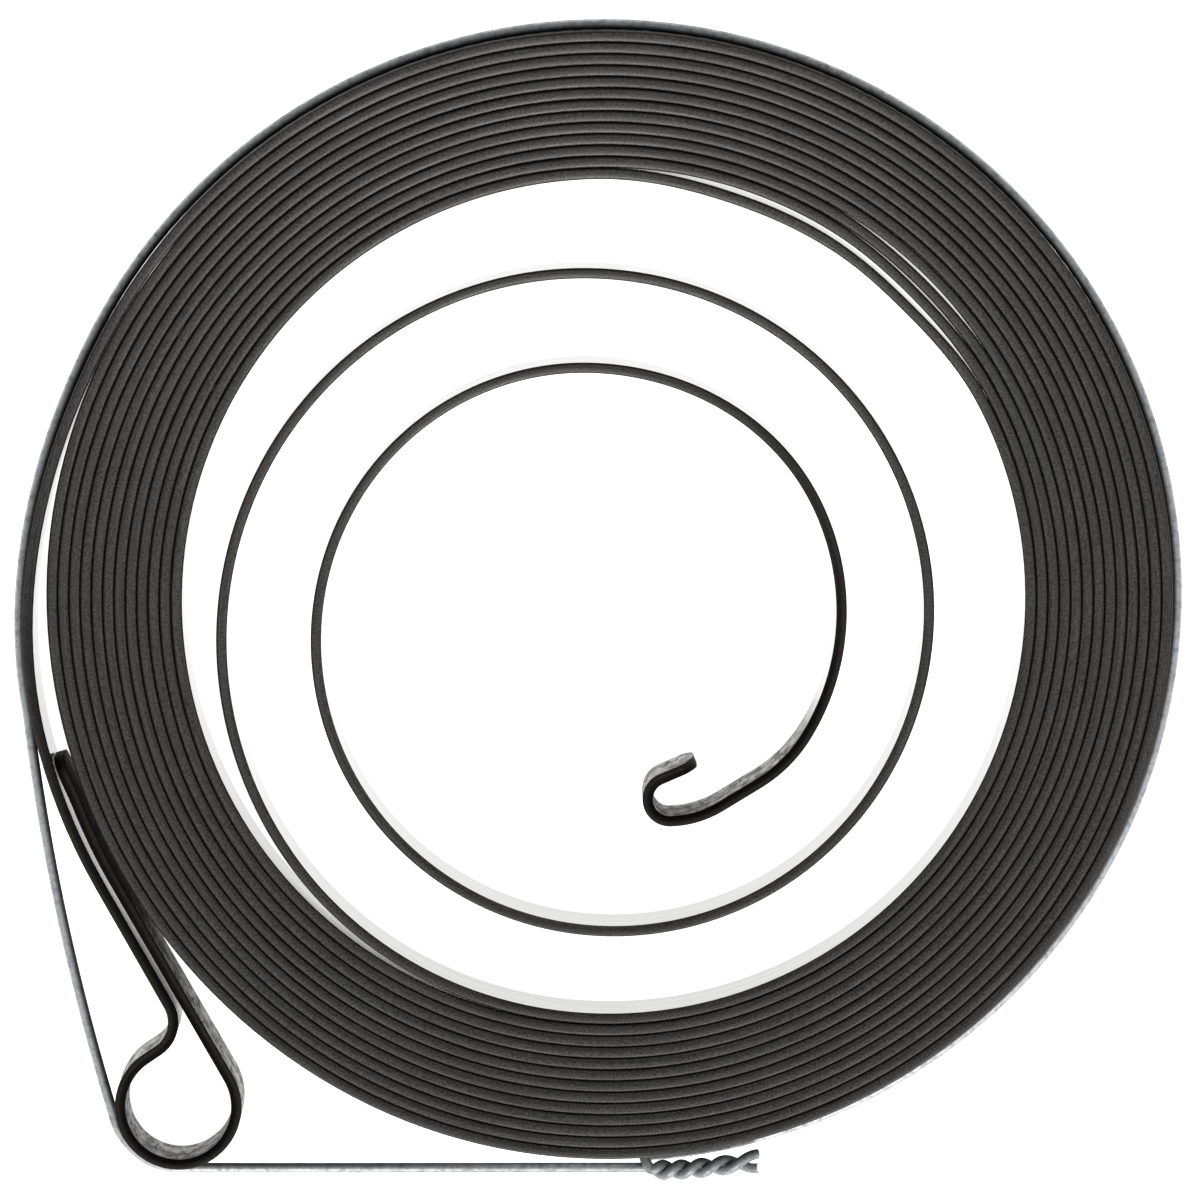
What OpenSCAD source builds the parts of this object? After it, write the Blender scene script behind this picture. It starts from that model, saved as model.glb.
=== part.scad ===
// Recoil starter spring: one flat steel strip wound into a tight pack, kept wound by a twisted tie wire.
// The winding axis is the Z axis and the strip stands on Z = 0, with its lengths in millimetres.
// Seen from above, the strip winds outward anticlockwise: hook, loose turns, tight pack, eye, tail.

/* [Strip] */
// Width of the strip, along Z
strip_w = 6; // [4:0.5:10]
// Thickness of the strip
strip_t = 0.6; // [0.4:0.05:0.8]

/* [Tight pack] */
// Outside diameter of the pack, where its outermost turn crosses +X
pack_d = 64; // [58:0.5:72]
// Whole turns in the pack
pack_turns = 12; // [8:1:14]
// Air between two turns of the pack
turn_gap = 0.043; // [0.03:0.001:0.1]
// Dip of the innermost turn away from the next one, on the upper right
slack_dip = 0.22; // [0:0.02:0.6]

/* [Loose turns] */
// Radial step from the pack to the first loose turn
loose_step = 5.2; // [3:0.05:7]
// Radial pitch of the loose turns
loose_pitch = 5.35; // [3:0.05:6]
// Sideways shift of the loose turns from the winding axis
loose_shift = 1.55; // [0:0.05:2]
// Outward flare of the inner loose turn before the hook
loose_flare = 0.4; // [0:0.05:0.8]

/* [Hook] */
// Radius of the elbow before the hook's arm
elbow_r = 8.2; // [5:0.1:11]
// Length of the hook's straight arm
arm_l = 2.5; // [1:0.1:6]
// Radius of the gentle bend from the arm into the hook
foot_r = 5.7; // [3:0.1:8]
// Inside radius of the hook
hook_r = 0.95; // [0.6:0.05:1.8]
// Length of the hook's tip past its bend
tip_l = 2.1; // [1:0.1:3]
// Length of the slanted corners at the hook's tip
tip_cut_l = 0.7; // [0.2:0.1:1]
// Height of the slanted corners, across the strip
tip_cut_h = 1.7; // [0.4:0.1:1.8]

/* [Eye and tail] */
// Inside diameter of the eye, for the anchor post
eye_d = 6; // [4:0.1:9]
// Straight run of strip before the eye's neck
neck_l = 7.85; // [6:0.05:12]
// Inside radius of the neck's bend
neck_r = 1.65; // [0.8:0.05:2]
// Air between the two strips at the neck
neck_gap = 0.3; // [0.25:0.05:0.8]
// Length of tail that lies along the pack
tail_l = 7.7; // [3:0.1:12]
// Air between the tail and the pack
tail_gap = 0.24; // [0.05:0.01:0.3]
// Air between the tail and the run of strip outside it
run_gap = 0.08; // [0.05:0.01:0.25]

/* [Tie wire] */
// Diameter of the tie wire
wire_d = 0.6; // [0.4:0.05:0.8]
// Air between the wire and what it lies on, and between its twisted ends
wire_gap = 0.05; // [0.03:0.01:0.1]
// Outward bow of the wire between the pack and the eye
wire_bow = 0.5; // [0:0.05:1]
// Turns in the twisted ends
twist_turns = 3; // [2:0.5:5]
// Length of one turn of the twist, over the tightest that its wires allow
twist_slack = 0.15; // [0.05:0.05:1]
// Spread of the two cut ends
splay = 0.1; // [0:0.02:0.2]

/* [Hidden] */

// Angles, in degrees from +X
turn_step = 5;
least_step = 1.5;
pack_leave = 75;
dip_from = 30;
dip_to = 90;
loose_aim = 254;
blend_from = 215;
flare_from = 270;
flare_span = 60;
hook_from = 388;
elbow_turn = 27;
foot_turn = 30;
hook_turn = 158;
run_leave = 209.5;
neck_turn = 85.5;
lift_lead = 2;
lift_span = 40;
root_lead = 3;

// Points on the short curves, and sides of the round shapes
bend_steps = 8;
hook_steps = 16;
eye_steps = 44;
bow_steps = 8;
twist_steps = 14;
wire_sides = 10;
eye_sides = 72;

// The pack, whose turns are counted back from its outermost crossing of +X
turn_pitch = strip_t + turn_gap;
inner_a = -360 * pack_turns - pack_leave;
loose_offset = polar(loose_shift, loose_aim);
loose_r0 = pack_r(inner_a) - loose_step;

// The hook, from the loose turns inward: elbow, straight arm, foot, bend and tip
hook_heading = loose_heading(-hook_from) - 180;
elbow_center = loose_point(-hook_from) + polar(elbow_r, hook_heading - 90);
arm_heading = hook_heading - elbow_turn;
arm_end = elbow_center + polar(elbow_r, arm_heading + 90) + polar(arm_l, arm_heading);
foot_center = arm_end + polar(foot_r, arm_heading - 90);
bend_heading = arm_heading - foot_turn;
bend_r = hook_r + strip_t / 2;
bend_center = foot_center + polar(foot_r - bend_r, bend_heading + 90);
tip_heading = bend_heading - hook_turn;
tip_end = bend_center + polar(bend_r, tip_heading + 90) + polar(tip_l, tip_heading);
tip_cut_past = 0.5;

// The run and the tail, which lie outside the pack between the outermost turn and the eye
tail_r = pack_r(run_leave + turn_step - 360) + strip_t + tail_gap;
run_r = tail_r + strip_t + run_gap;

// The neck and the eye, whose wall is left a little thick and then reamed round
ream = 0.02;
ream_past = 1;
eye_mid_r = eye_d / 2 + strip_t / 2 - ream;
neck_mid_r = neck_r + strip_t / 2;
neck_rise = eye_mid_r * (1 + cos(neck_turn)) - neck_mid_r * (1 - cos(neck_turn));
neck_flat = (neck_rise - strip_t - neck_gap) / sin(neck_turn);
neck_heading = run_leave + 90;
neck_start = polar(run_r, run_leave) + polar(neck_l, neck_heading);
neck_center = neck_start + polar(neck_mid_r, neck_heading - 90);
eye_heading = neck_heading - neck_turn;
eye_start = neck_center + polar(neck_mid_r, eye_heading + 90) + polar(neck_flat, eye_heading);
eye_center = eye_start + polar(eye_mid_r, eye_heading + 90);
eye_reach = norm(eye_center);
eye_bearing = atan2(eye_center.y, eye_center.x) + 360;
tail_from = eye_bearing - acos((eye_mid_r + tail_r) / eye_reach);
tail_to = tail_from - tail_l / tail_r * 180 / PI;
lift_to = tail_to - lift_lead;
lift_rise = run_r - pack_r(lift_to);
lift_from = lift_to - lift_span;

// The tie wire, from its own centre line, which is higher on the far side from the twist
wire_share = 0.45;
wire_top_share = 0.9;
wire_r = wire_d / 2;
wire_off = strip_t / 2 + wire_gap + wire_r;
wire_z = wire_share * strip_w;
twist_r = (wire_d + wire_gap) / 2;
twist_pitch = 2 * PI * twist_r + twist_slack;
twist_l = twist_turns * twist_pitch;
wrap_r = eye_d / 2 + strip_t + wire_gap + wire_r;
wire_leave = eye_bearing - acos((run_r + wire_off - wrap_r) / eye_reach);
root_a = eye_bearing + acos((pack_r(-90) + wire_off - wrap_r) / eye_reach) + root_lead;
root_r = turn_r(root_a - 360) + wire_off;
axis_r = root_r + twist_r;
axis_z = wire_z + 3 * twist_r;
axis_dir = [-sin(root_a), cos(root_a), 0];
inward = [-cos(root_a), -sin(root_a), 0];
upward = [0, 0, 1];

function polar(r, a) = r * [cos(a), sin(a)];
function lifted(p, z) = [p.x, p.y, z];
function unit(v) = v / norm(v);
function ease(u) = u <= 0 ? 0 : u >= 1 ? 1 : u * u * (3 - 2 * u);
function mix(p, q, u) = p * (1 - u) + q * u;
function reversed(list) = [for (i = [len(list) - 1 : -1 : 0]) list[i]];

// Points on an arc, from its start angle to its end angle, with or without the first
function arc(center, r, from, to, steps, first = 0) =
    [for (i = [first : steps]) center + polar(r, from + (to - from) * i / steps)];

// A cubic curve between two values, with a handle at each
function cubic(p, p_handle, q_handle, q, u) =
    mix(mix(mix(p, p_handle, u), mix(p_handle, q_handle, u), u),
        mix(mix(p_handle, q_handle, u), mix(q_handle, q, u), u), u);

// Radius of the strip's centre line in the pack, at an angle counted back from its outermost turn
function pack_r(a) = pack_d / 2 - strip_t / 2 + turn_pitch * a / 360;

// The same with the dip of the innermost turn and the lift of the outermost one
function dip_at(a) = slack_dip * pow(sin(180 * (a - dip_from) / (dip_to - dip_from)), 2);
function dip(a) = a > dip_from && a < dip_to ? dip_at(a) : 0;
function lift(a) = lift_rise * ease((a - lift_from) / (lift_to - lift_from));
function turn_r(a) =
    a > lift_to ? run_r : pack_r(a) - dip(a + 360 * pack_turns) + lift(a);

// The loose turns are a spiral of wider pitch round a shifted centre
function flare(a) = loose_flare * ease(-(a + flare_from) / flare_span);
function loose_r(a) = loose_r0 + loose_pitch * a / 360 + flare(a);
function loose_point(a) = loose_offset + polar(loose_r(a), a);
function loose_slope(a) = atan(loose_pitch / (2 * PI * loose_r(a)));
function loose_heading(a) = a + 90 - loose_slope(a);

// The hook's centre line
function hook_path() = concat(
    arc(elbow_center, elbow_r, hook_heading + 90, arm_heading + 90, bend_steps, 1),
    arc(foot_center, foot_r, arm_heading + 90, bend_heading + 90, bend_steps),
    arc(bend_center, bend_r, bend_heading + 90, tip_heading + 90, hook_steps, 1),
    [tip_end]
);

// The bend that brings the loose turns out to the pack, by its radius at each angle
function blend_path() =
    let (
        start = loose_point(blend_from),
        from = atan2(start.y, start.x) + 360,
        to = 360 - pack_leave,
        span = (to - from) * PI / 180,
        from_r = norm(start),
        from_handle = from_r + from_r * tan(from + 90 - loose_heading(blend_from)) * span / 3,
        to_r = pack_r(inner_a),
        to_handle = to_r - turn_pitch / (2 * PI) * span / 3,
        first_a = ceil((from + least_step) / turn_step) * turn_step
    )
    [for (a = [first_a : turn_step : to - turn_step])
        polar(cubic(from_r, from_handle, to_handle, to_r, (a - from) / (to - from)), a)];

// The neck, the eye and the tail
function eye_path() = concat(
    [polar(run_r, run_leave)],
    arc(neck_center, neck_mid_r, neck_heading + 90, eye_heading + 90, bend_steps),
    arc(eye_center, eye_mid_r, eye_heading - 90, tail_from + 180, eye_steps),
    arc([0, 0], tail_r, tail_from, tail_to, bend_steps)
);

// The strip's centre line, from the hook's tip to the tail's cut end
function strip_path() = concat(
    reversed(hook_path()),
    [for (a = [-hook_from : turn_step : blend_from]) loose_point(a)],
    blend_path(),
    [for (a = [inner_a : turn_step : run_leave - least_step]) polar(turn_r(a), a)],
    eye_path()
);

// Unit direction of a path at a point, halfway between those of its two neighbours
function step_dir(path, i) = unit(path[i] - path[i - 1]);
function path_dir(path, i) =
    unit(step_dir(path, max(i, 1)) + step_dir(path, min(i + 1, len(path) - 1)));
function side_dir(path, i) = let (d = path_dir(path, i)) [-d.y, d.x];

// Outline of a strip of even thickness along a flat path
function band(path, t) = concat(
    [for (i = [0 : len(path) - 1]) path[i] + side_dir(path, i) * t / 2],
    reversed([for (i = [0 : len(path) - 1]) path[i] - side_dir(path, i) * t / 2])
);

// One of the two twisted ends, from the root outward: both start along the axis, then wind round it
function twist_angle(s) =
    let (ramp = twist_pitch / 4) 360 / twist_pitch * (s < ramp ? s * s / (2 * ramp) : s - ramp / 2);
function twist_point(s, phase) =
    let (
        a = phase - twist_angle(s),
        r = twist_r + splay * ease((s - twist_l + twist_pitch) / twist_pitch)
    )
    lifted(polar(axis_r, root_a), axis_z) + axis_dir * s + r * (cos(a) * inward + sin(a) * upward);
function twist_path(phase) =
    [for (i = [0 : twist_turns * twist_steps]) twist_point(i * twist_pitch / twist_steps, phase)];

// The turn that brings the wire's first end back over the other, at the root of the twist
function root_path() =
    [for (i = [1 : bend_steps - 1])
        let (u = i / bend_steps)
        lifted(polar(mix(axis_r, root_r, u), root_a), wire_z + 2 * twist_r * (1 + cos(180 * u)))
            - axis_dir * 2 * twist_r * sin(180 * u)];

// The bowed stretch from the pack to the eye
function bow_path() =
    let (p = polar(run_r + wire_off, wire_leave), q = eye_center + polar(wrap_r, wire_leave))
    [for (i = [0 : bow_steps - 1])
        let (u = i / bow_steps)
        lifted(mix(p, q, u) + polar(4 * wire_bow * u * (1 - u), wire_leave), wire_z)];

// Height of the wire on the pack
function wire_height(a) =
    let (u = (a - root_a + 360) / (wire_leave - root_a + 360))
    strip_w * mix(wire_share, wire_top_share, pow(sin(180 * u), 2));

// The wire's centre line, round the pack and the eye from one cut end to the other
function wire_path() =
    let (
        root = polar(axis_r, root_a) - eye_center,
        wrap_to = atan2(root.y, root.x) + 360 - acos(wrap_r / norm(root)),
        first_a = ceil((root_a - 360) / turn_step) * turn_step
    )
    concat(
        reversed(twist_path(90)),
        root_path(),
        [lifted(polar(root_r, root_a), wire_z)],
        [for (a = [first_a : turn_step : wire_leave - least_step])
            lifted(polar(turn_r(a) + wire_off, a), wire_height(a))],
        bow_path(),
        [for (p = arc(eye_center, wrap_r, wire_leave, wrap_to, bend_steps)) lifted(p, wire_z)],
        twist_path(270)
    );

// A round tube along a path, its rings carried along without twisting
module tube(path, r, sides) {
    n = len(path);
    dirs = [for (i = [0 : n - 1]) path_dir(path, i)];
    start = unit(cross(dirs[0], [1, 1, 1]));
    across = [
        for (i = 0, v = start; i < n; i = i + 1, v = i < n ? unit(v - (v * dirs[i]) * dirs[i]) : v) v
    ];
    points = [
        for (i = [0 : n - 1], j = [0 : sides - 1])
            let (a = 360 * j / sides, up = cross(dirs[i], across[i]))
            path[i] + r * (cos(a) * across[i] + sin(a) * up)
    ];
    walls = [
        for (i = [0 : n - 2], j = [0 : sides - 1])
            let (k = (j + 1) % sides, low = i * sides, high = low + sides)
            each [[low + j, high + j, high + k], [low + j, high + k, low + k]]
    ];
    ends = [[for (j = [0 : sides - 1]) j], [for (j = [sides - 1 : -1 : 0]) (n - 1) * sides + j]];
    polyhedron(points, concat(walls, ends));
}

// A wedge that slants one corner of the hook's tip, on the upper or the lower edge
module tip_cutter(side) {
    back = -tip_cut_l * (1 + tip_cut_past);
    front = tip_cut_l * tip_cut_past;
    high = strip_w / 2 + tip_cut_h * tip_cut_past;
    low = strip_w / 2 - tip_cut_h * (1 + tip_cut_past);
    translate([tip_end.x, tip_end.y, strip_w / 2])
        rotate([90, 0, tip_heading])
            linear_extrude(2 * strip_t, center = true)
                polygon([[back, side * high], [front, side * low], [front, side * high]]);
}

module spring_strip() {
    color("dimgray")
        difference() {
            linear_extrude(strip_w)
                polygon(band(strip_path(), strip_t));
            translate([eye_center.x, eye_center.y, -ream_past])
                cylinder(d = eye_d, h = strip_w + 2 * ream_past, $fn = eye_sides);
            tip_cutter(1);
            tip_cutter(-1);
        }
}

module tie_wire() {
    color("silver")
        tube(wire_path(), wire_r, wire_sides);
}

spring_strip();
tie_wire();
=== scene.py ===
"""Looks of a recoil starter spring: a wound steel strip, kept wound by a twisted tie wire."""

import math

import bpy
from bpy.props import FloatProperty, FloatVectorProperty, IntProperty, PointerProperty
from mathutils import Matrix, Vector


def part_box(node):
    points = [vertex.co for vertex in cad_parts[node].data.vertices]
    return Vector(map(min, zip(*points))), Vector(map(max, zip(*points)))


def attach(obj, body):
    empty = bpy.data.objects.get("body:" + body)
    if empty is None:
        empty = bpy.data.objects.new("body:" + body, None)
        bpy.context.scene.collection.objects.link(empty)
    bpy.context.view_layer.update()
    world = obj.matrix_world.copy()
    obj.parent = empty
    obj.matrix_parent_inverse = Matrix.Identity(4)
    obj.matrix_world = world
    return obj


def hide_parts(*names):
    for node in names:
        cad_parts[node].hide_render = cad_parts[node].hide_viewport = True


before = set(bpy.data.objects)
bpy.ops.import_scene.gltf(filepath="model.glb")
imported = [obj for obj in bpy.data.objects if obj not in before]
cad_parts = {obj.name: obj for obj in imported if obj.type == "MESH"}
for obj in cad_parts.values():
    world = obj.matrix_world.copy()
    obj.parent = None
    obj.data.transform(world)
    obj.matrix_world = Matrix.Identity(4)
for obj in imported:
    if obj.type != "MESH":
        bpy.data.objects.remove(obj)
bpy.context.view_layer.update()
STRIP_LOW, STRIP_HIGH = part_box("spring_strip")

bl_info = {
    "name": "Recoil Starter Spring",
    "version": (1, 0, 0),
    "blender": (4, 5, 0),
    "location": "View3D > Sidebar > Recoil Spring",
    "description": "Winds the spring strip, ties it with wire and sets the stage",
    "category": "Object",
}

MM = 0.001

# Angles and spans of the strip's and the wire's runs, in degrees
PACK_STEP = 2
PACK_LEAVE = 75
LOOSE_AIM = 254
BLEND_FROM = 215
FLARE_FROM = 270
FLARE_SPAN = 60
HOOK_FROM = 388
ELBOW_TURN = 27
FOOT_TURN = 30
HOOK_TURN = 158
RUN_LEAVE = 209.5
TAIL_LEAD = 5
NECK_TURN = 85.5
LIFT_LEAD = 2
LIFT_SPAN = 40
ROOT_LEAD = 2.9
LEAST_STEP = 0.6

# Points on the short curves of the strip and the wire
BEND_POINTS = 16
HOOK_POINTS = 36
EYE_POINTS = 90
BOW_POINTS = 24
TWIST_POINTS = 28
TIP_POINTS = 6

# Edges that bend more than this stay sharp
RIM_ANGLE = math.radians(50)


def length(name, description, default):
    """A size in metres, for the panel."""
    return FloatProperty(
        name=name, description=description, default=default, min=0, unit="LENGTH", precision=5
    )


def fraction(name, description, default):
    """A share of another size, for the panel."""
    return FloatProperty(
        name=name, description=description, default=default, min=0, max=1, subtype="FACTOR"
    )


def number(name, description, default, least=0):
    """A plain number, for the panel."""
    return FloatProperty(name=name, description=description, default=default, min=least)


def whole(name, description, default, least):
    """A whole number, for the panel."""
    return IntProperty(name=name, description=description, default=default, min=least)


def tint(name, description, default):
    """A colour, for the panel."""
    return FloatVectorProperty(
        name=name, description=description, default=default, size=3, min=0, max=1, subtype="COLOR"
    )


class StripSizes(bpy.types.PropertyGroup):
    """Sizes of the wound strip"""

    width: length("Width", "Width of the strip, along the winding axis", STRIP_HIGH.z - STRIP_LOW.z)
    thickness: length("Thickness", "Thickness of the strip", 0.6 * MM)
    crown: length("Crown", "Height of the strip's rounded edges", 0.19 * MM)
    corner: length("Corner", "Reach of the edges' rounding on the outer side", 0.12 * MM)
    rollover: length("Rollover", "Reach of the edges' rounding on the inner side", 0.34 * MM)
    pack_diameter: length("Pack diameter", "Outside diameter of the tight pack", 64 * MM)
    pack_turns: whole("Pack turns", "Whole turns in the tight pack", 12, 4)
    turn_gap: length("Turn gap", "Air between two turns of the pack", 0.043 * MM)
    slack: length("Slack", "Dip of the innermost turn, on the upper right", 0.22 * MM)
    film: length("Film", "Scale and oil on each wide face, which fill the gaps between turns", 0.0208 * MM)
    stand: length("Stand", "Most that a turn stands above the lowest", 0.05 * MM)
    loose_step: length("Loose step", "Radial step from the pack to the first loose turn", 5.2 * MM)
    loose_pitch: length("Loose pitch", "Radial pitch of the loose turns", 5.35 * MM)
    loose_shift: length("Loose shift", "Sideways shift of the loose turns", 1.55 * MM)
    flare: length("Flare", "Outward flare of the inner loose turn before the hook", 0.4 * MM)
    elbow: length("Elbow", "Radius of the elbow before the hook", 8.2 * MM)
    arm: length("Arm", "Length of the hook's straight arm", 2.5 * MM)
    foot: length("Foot", "Radius of the gentle bend from the arm into the hook", 5.7 * MM)
    hook: length("Hook", "Inside radius of the hook", 0.95 * MM)
    tip: length("Tip", "Length of the hook's tip past its bend", 2.1 * MM)
    tip_slant: length("Tip slant", "Length of the slanted corners at the strip's two ends", 0.7 * MM)
    tip_drop: length("Tip drop", "Height of the slanted corners at the strip's two ends", 1.7 * MM)
    eye_diameter: length("Eye diameter", "Inside diameter of the eye", 6 * MM)
    neck: length("Neck", "Straight run before the eye's neck", 7.85 * MM)
    neck_bend: length("Neck bend", "Inside radius of the neck's bend", 1.65 * MM)
    neck_gap: length("Neck gap", "Air between the two strips at the neck", 0.3 * MM)
    tail: length("Tail", "Length of tail that lies along the pack", 7.7 * MM)
    tail_gap: length("Tail gap", "Air between the tail and an even pack", 0.09 * MM)
    run_gap: length("Run gap", "Air between the tail and the run outside it", 0.23 * MM)
    flick: length("Flick", "Outward bend of the tail's end, to the run", 0.19 * MM)
    flick_length: length("Flick length", "Length of the bent end of the tail", 3 * MM)
    squeeze: length("Squeeze", "Most that the outer turns are pressed in beside the tail", 0.2 * MM)


class WireSizes(bpy.types.PropertyGroup):
    """Sizes of the tie wire"""

    diameter: length("Diameter", "Diameter of the wire", 0.6 * MM)
    gap: length("Gap", "Air between the wire and what it lies on", 0.03 * MM)
    bow: length("Bow", "Outward bow between the pack and the eye", 0.5 * MM)
    twist_gap: length("Twist gap", "Air between the two twisted ends", 0)
    low: fraction("Low", "Height of the wire by its twist, as a share of the strip", 0.45)
    high: fraction("High", "Height of the wire on the far side, as a share of the strip", 0.82)
    turns: number("Twist turns", "Turns in the twisted ends", 2.3, 1)
    slack: length("Twist slack", "Length of the first turn of the twist over the tightest", 0.015 * MM)
    loosen: number("Loosen", "How far the twist loosens towards its ends, none at 1", 1.42, 1)
    stand_off: length("Twist stand-off", "Distance of the twist from the wire on the pack", 0.3 * MM)
    twist_bow: length("Twist bow", "Outward bow of the twisted ends", 0.2 * MM)
    lean: number("Twist lean", "Degrees that the twisted ends lean off the pack", 0.55)
    splay: length("Splay", "Spread of the two cut ends", 0.1 * MM)
    sides: whole("Sides", "Sides of the wire's round section", 16, 6)


class Finishes(bpy.types.PropertyGroup):
    """Colours of the metals and the floor"""

    edge: tint("Edge", "Blued edges of the strip", (0.062, 0.061, 0.060))
    # This rim colour is lighter than the edge partly as wear and partly as a painted highlight of the
    # rounded rims.
    rim: tint("Rim", "Worn rims of the blued edges", (0.090, 0.088, 0.085))
    edge_warm: tint("Warm edge", "Brown cast on the blued edges", (0.066, 0.059, 0.053))
    scale: tint("Scale", "Black scale where the ends were heated to bend them", (0.010, 0.009, 0.008))
    # Lighter outer side of the heated edges; beside it, their black inner side is painted shade.
    scale_lit_side: tint("Scale rim", "Rims of the black scale", (0.032, 0.028, 0.024))
    face: tint("Face", "Bright wide faces of the strip", (0.38, 0.375, 0.37))
    face_dark: tint("Dark face", "Rolling streaks on the wide faces", (0.17, 0.167, 0.163))
    burnt: tint("Burnt face", "Grey wide faces of the heated ends", (0.50, 0.48, 0.456))
    burnt_dark: tint("Dark burnt face", "Dull patches on the heated wide faces", (0.12, 0.113, 0.106))
    zinc: tint("Zinc", "Zinc coat of the wire", (0.42, 0.43, 0.445))
    zinc_dark: tint("Dark zinc", "Dull patches of the zinc coat", (0.13, 0.135, 0.145))
    # Painted shade: this dark colour stands for the shade on the wire's side towards the spring, not for oil
    # and dirt.
    painted_shade: tint("Grime", "Oil and dirt on the wire's side towards the spring", (0.012, 0.012, 0.012))
    bare: tint("Bare wire", "Bright steel where the wire was cut", (0.72, 0.73, 0.74))
    floor: tint("Floor", "Pale floor", (0.9, 0.9, 0.9))


def polar(radius, degrees):
    """The flat point at a radius and an angle."""
    a = math.radians(degrees)
    return Vector((radius * math.cos(a), radius * math.sin(a)))


def arc(center, radius, start, end, points, first=0):
    """Points on an arc, with or without its first."""
    return [center + polar(radius, start + (end - start) * i / points) for i in range(first, points + 1)]


def angles(start, end, step):
    """Angles on the grid of a step, from one to another."""
    count = int((end - start) / step + 1e-6)
    return [start + step * i for i in range(count + 1)]


def ease(u):
    """A smooth climb from 0 to 1."""
    u = min(max(u, 0), 1)
    return u * u * (3 - 2 * u)


def swell(a, start, end):
    """A smooth rise and fall between two angles."""
    return math.sin(math.pi * (a - start) / (end - start)) ** 2 if start < a < end else 0


def cubic(p, p_handle, q_handle, q, u):
    """A cubic curve between two values, with a handle at each."""
    v = 1 - u
    return p * v**3 + 3 * p_handle * u * v * v + 3 * q_handle * u * u * v + q * u**3


class Winding:
    """The strip's centre line, worked out from its sizes"""

    # Gaps between the innermost turns that slack opens: turn inside the gap, from, to, share of the slack
    OPEN_GAPS = ((0, 26, 70, 1.0), (0, 48, 92, 1.28), (1, 30, 58, 0.2), (2, 29, 62, 0.4))
    # Where these gaps have no film: from, to, and the fade at both
    OPEN_SPAN = (33, 62, 10)
    # Spans in which the film sets in at the pack's inner end and ends before its lift
    FILM_IN = 60
    FILM_OUT = 40
    # Waves of the turns' height in a turn
    STAND_RATE = 0.83
    # Turns beside the tail that are pressed in: from and to, then the first turn and how many
    SQUEEZE_SPAN = (165, 260)
    SQUEEZE_TURNS = (5, 6.5)

    def __init__(self, strip):
        self.strip = strip
        self.pitch = strip.thickness + strip.turn_gap
        self.inner = -360 * strip.pack_turns - PACK_LEAVE
        self.loose_offset = polar(strip.loose_shift, LOOSE_AIM)
        self.loose_start = self.pack_radius(self.inner) - strip.loose_step
        self.tail_radius = self.pack_radius(RUN_LEAVE + TAIL_LEAD - 360) + strip.thickness + strip.tail_gap
        self.run_radius = self.tail_radius + strip.thickness + strip.run_gap
        self.place_eye()

    def place_eye(self):
        """Works out the neck, the eye and the tail."""
        strip = self.strip
        half = strip.thickness / 2
        self.eye_radius = strip.eye_diameter / 2 + half
        self.neck_radius = strip.neck_bend + half
        bend = math.radians(NECK_TURN)
        rise = self.eye_radius * (1 + math.cos(bend)) - self.neck_radius * (1 - math.cos(bend))
        flat = (rise - strip.thickness - strip.neck_gap) / math.sin(bend)
        self.neck_heading = RUN_LEAVE + 90
        neck_start = polar(self.run_radius, RUN_LEAVE) + polar(strip.neck, self.neck_heading)
        self.neck_center = neck_start + polar(self.neck_radius, self.neck_heading - 90)
        self.eye_heading = self.neck_heading - NECK_TURN
        eye_start = self.neck_center + polar(self.neck_radius, self.eye_heading + 90)
        eye_start += polar(flat, self.eye_heading)
        self.eye_center = eye_start + polar(self.eye_radius, self.eye_heading + 90)
        self.eye_reach = self.eye_center.length
        self.eye_bearing = math.degrees(math.atan2(self.eye_center.y, self.eye_center.x)) + 360
        self.tail_from = self.eye_bearing - self.bearing_off(self.eye_radius + self.tail_radius)
        self.tail_to = self.tail_from - math.degrees(strip.tail / self.tail_radius)
        self.lift_to = self.tail_to - LIFT_LEAD

    def bearing_off(self, side):
        """Angle between the eye and a line that touches it, a side away from the axis."""
        return math.degrees(math.acos(side / self.eye_reach))

    def pack_radius(self, a):
        """Radius of an even pack, at an angle counted back from its outermost turn."""
        return self.strip.pack_diameter / 2 - self.strip.thickness / 2 + self.pitch * a / 360

    def turn_radius(self, a):
        """Radius of the pack, with its slack and pressed turns and the lift of the outermost one."""
        if a > self.lift_to:
            return self.run_radius
        strip = self.strip
        turn, angle = divmod(a + 360 * strip.pack_turns, 360)
        dip = sum(strip.slack * share * swell(angle, start, end)
                  for gap, start, end, share in self.OPEN_GAPS if turn <= gap)
        lift = self.run_radius - self.pack_radius(self.lift_to)
        climb = lift * ease((a - self.lift_to + LIFT_SPAN) / LIFT_SPAN)
        return self.pack_radius(a) - dip + climb - strip.squeeze * self.pressed(a)

    def pressed(self, a):
        """Share of the squeeze that a turn has: none on the inner turns and on the outermost run."""
        if a > 0:
            return 0
        first, count = self.SQUEEZE_TURNS
        depth = (a / 360 + self.strip.pack_turns - first) / count
        return min(max(depth, 0), 1) * swell(a % 360, *self.SQUEEZE_SPAN)

    def stand(self, a):
        """Height of a turn above the lowest one."""
        return self.strip.stand * (1 + math.sin(math.radians(self.STAND_RATE * a))) / 2

    def loose_radius(self, a):
        """Radius of the loose turns round their own centre."""
        flare = self.strip.flare * ease(-(a + FLARE_FROM) / FLARE_SPAN)
        return self.loose_start + self.strip.loose_pitch * a / 360 + flare

    def loose_point(self, a):
        """Point of the loose turns."""
        return self.loose_offset + polar(self.loose_radius(a), a)

    def loose_heading(self, a):
        """Heading of the loose turns, outward along the strip."""
        slope = self.strip.loose_pitch / (2 * math.pi * self.loose_radius(a))
        return a + 90 - math.degrees(math.atan(slope))

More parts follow.
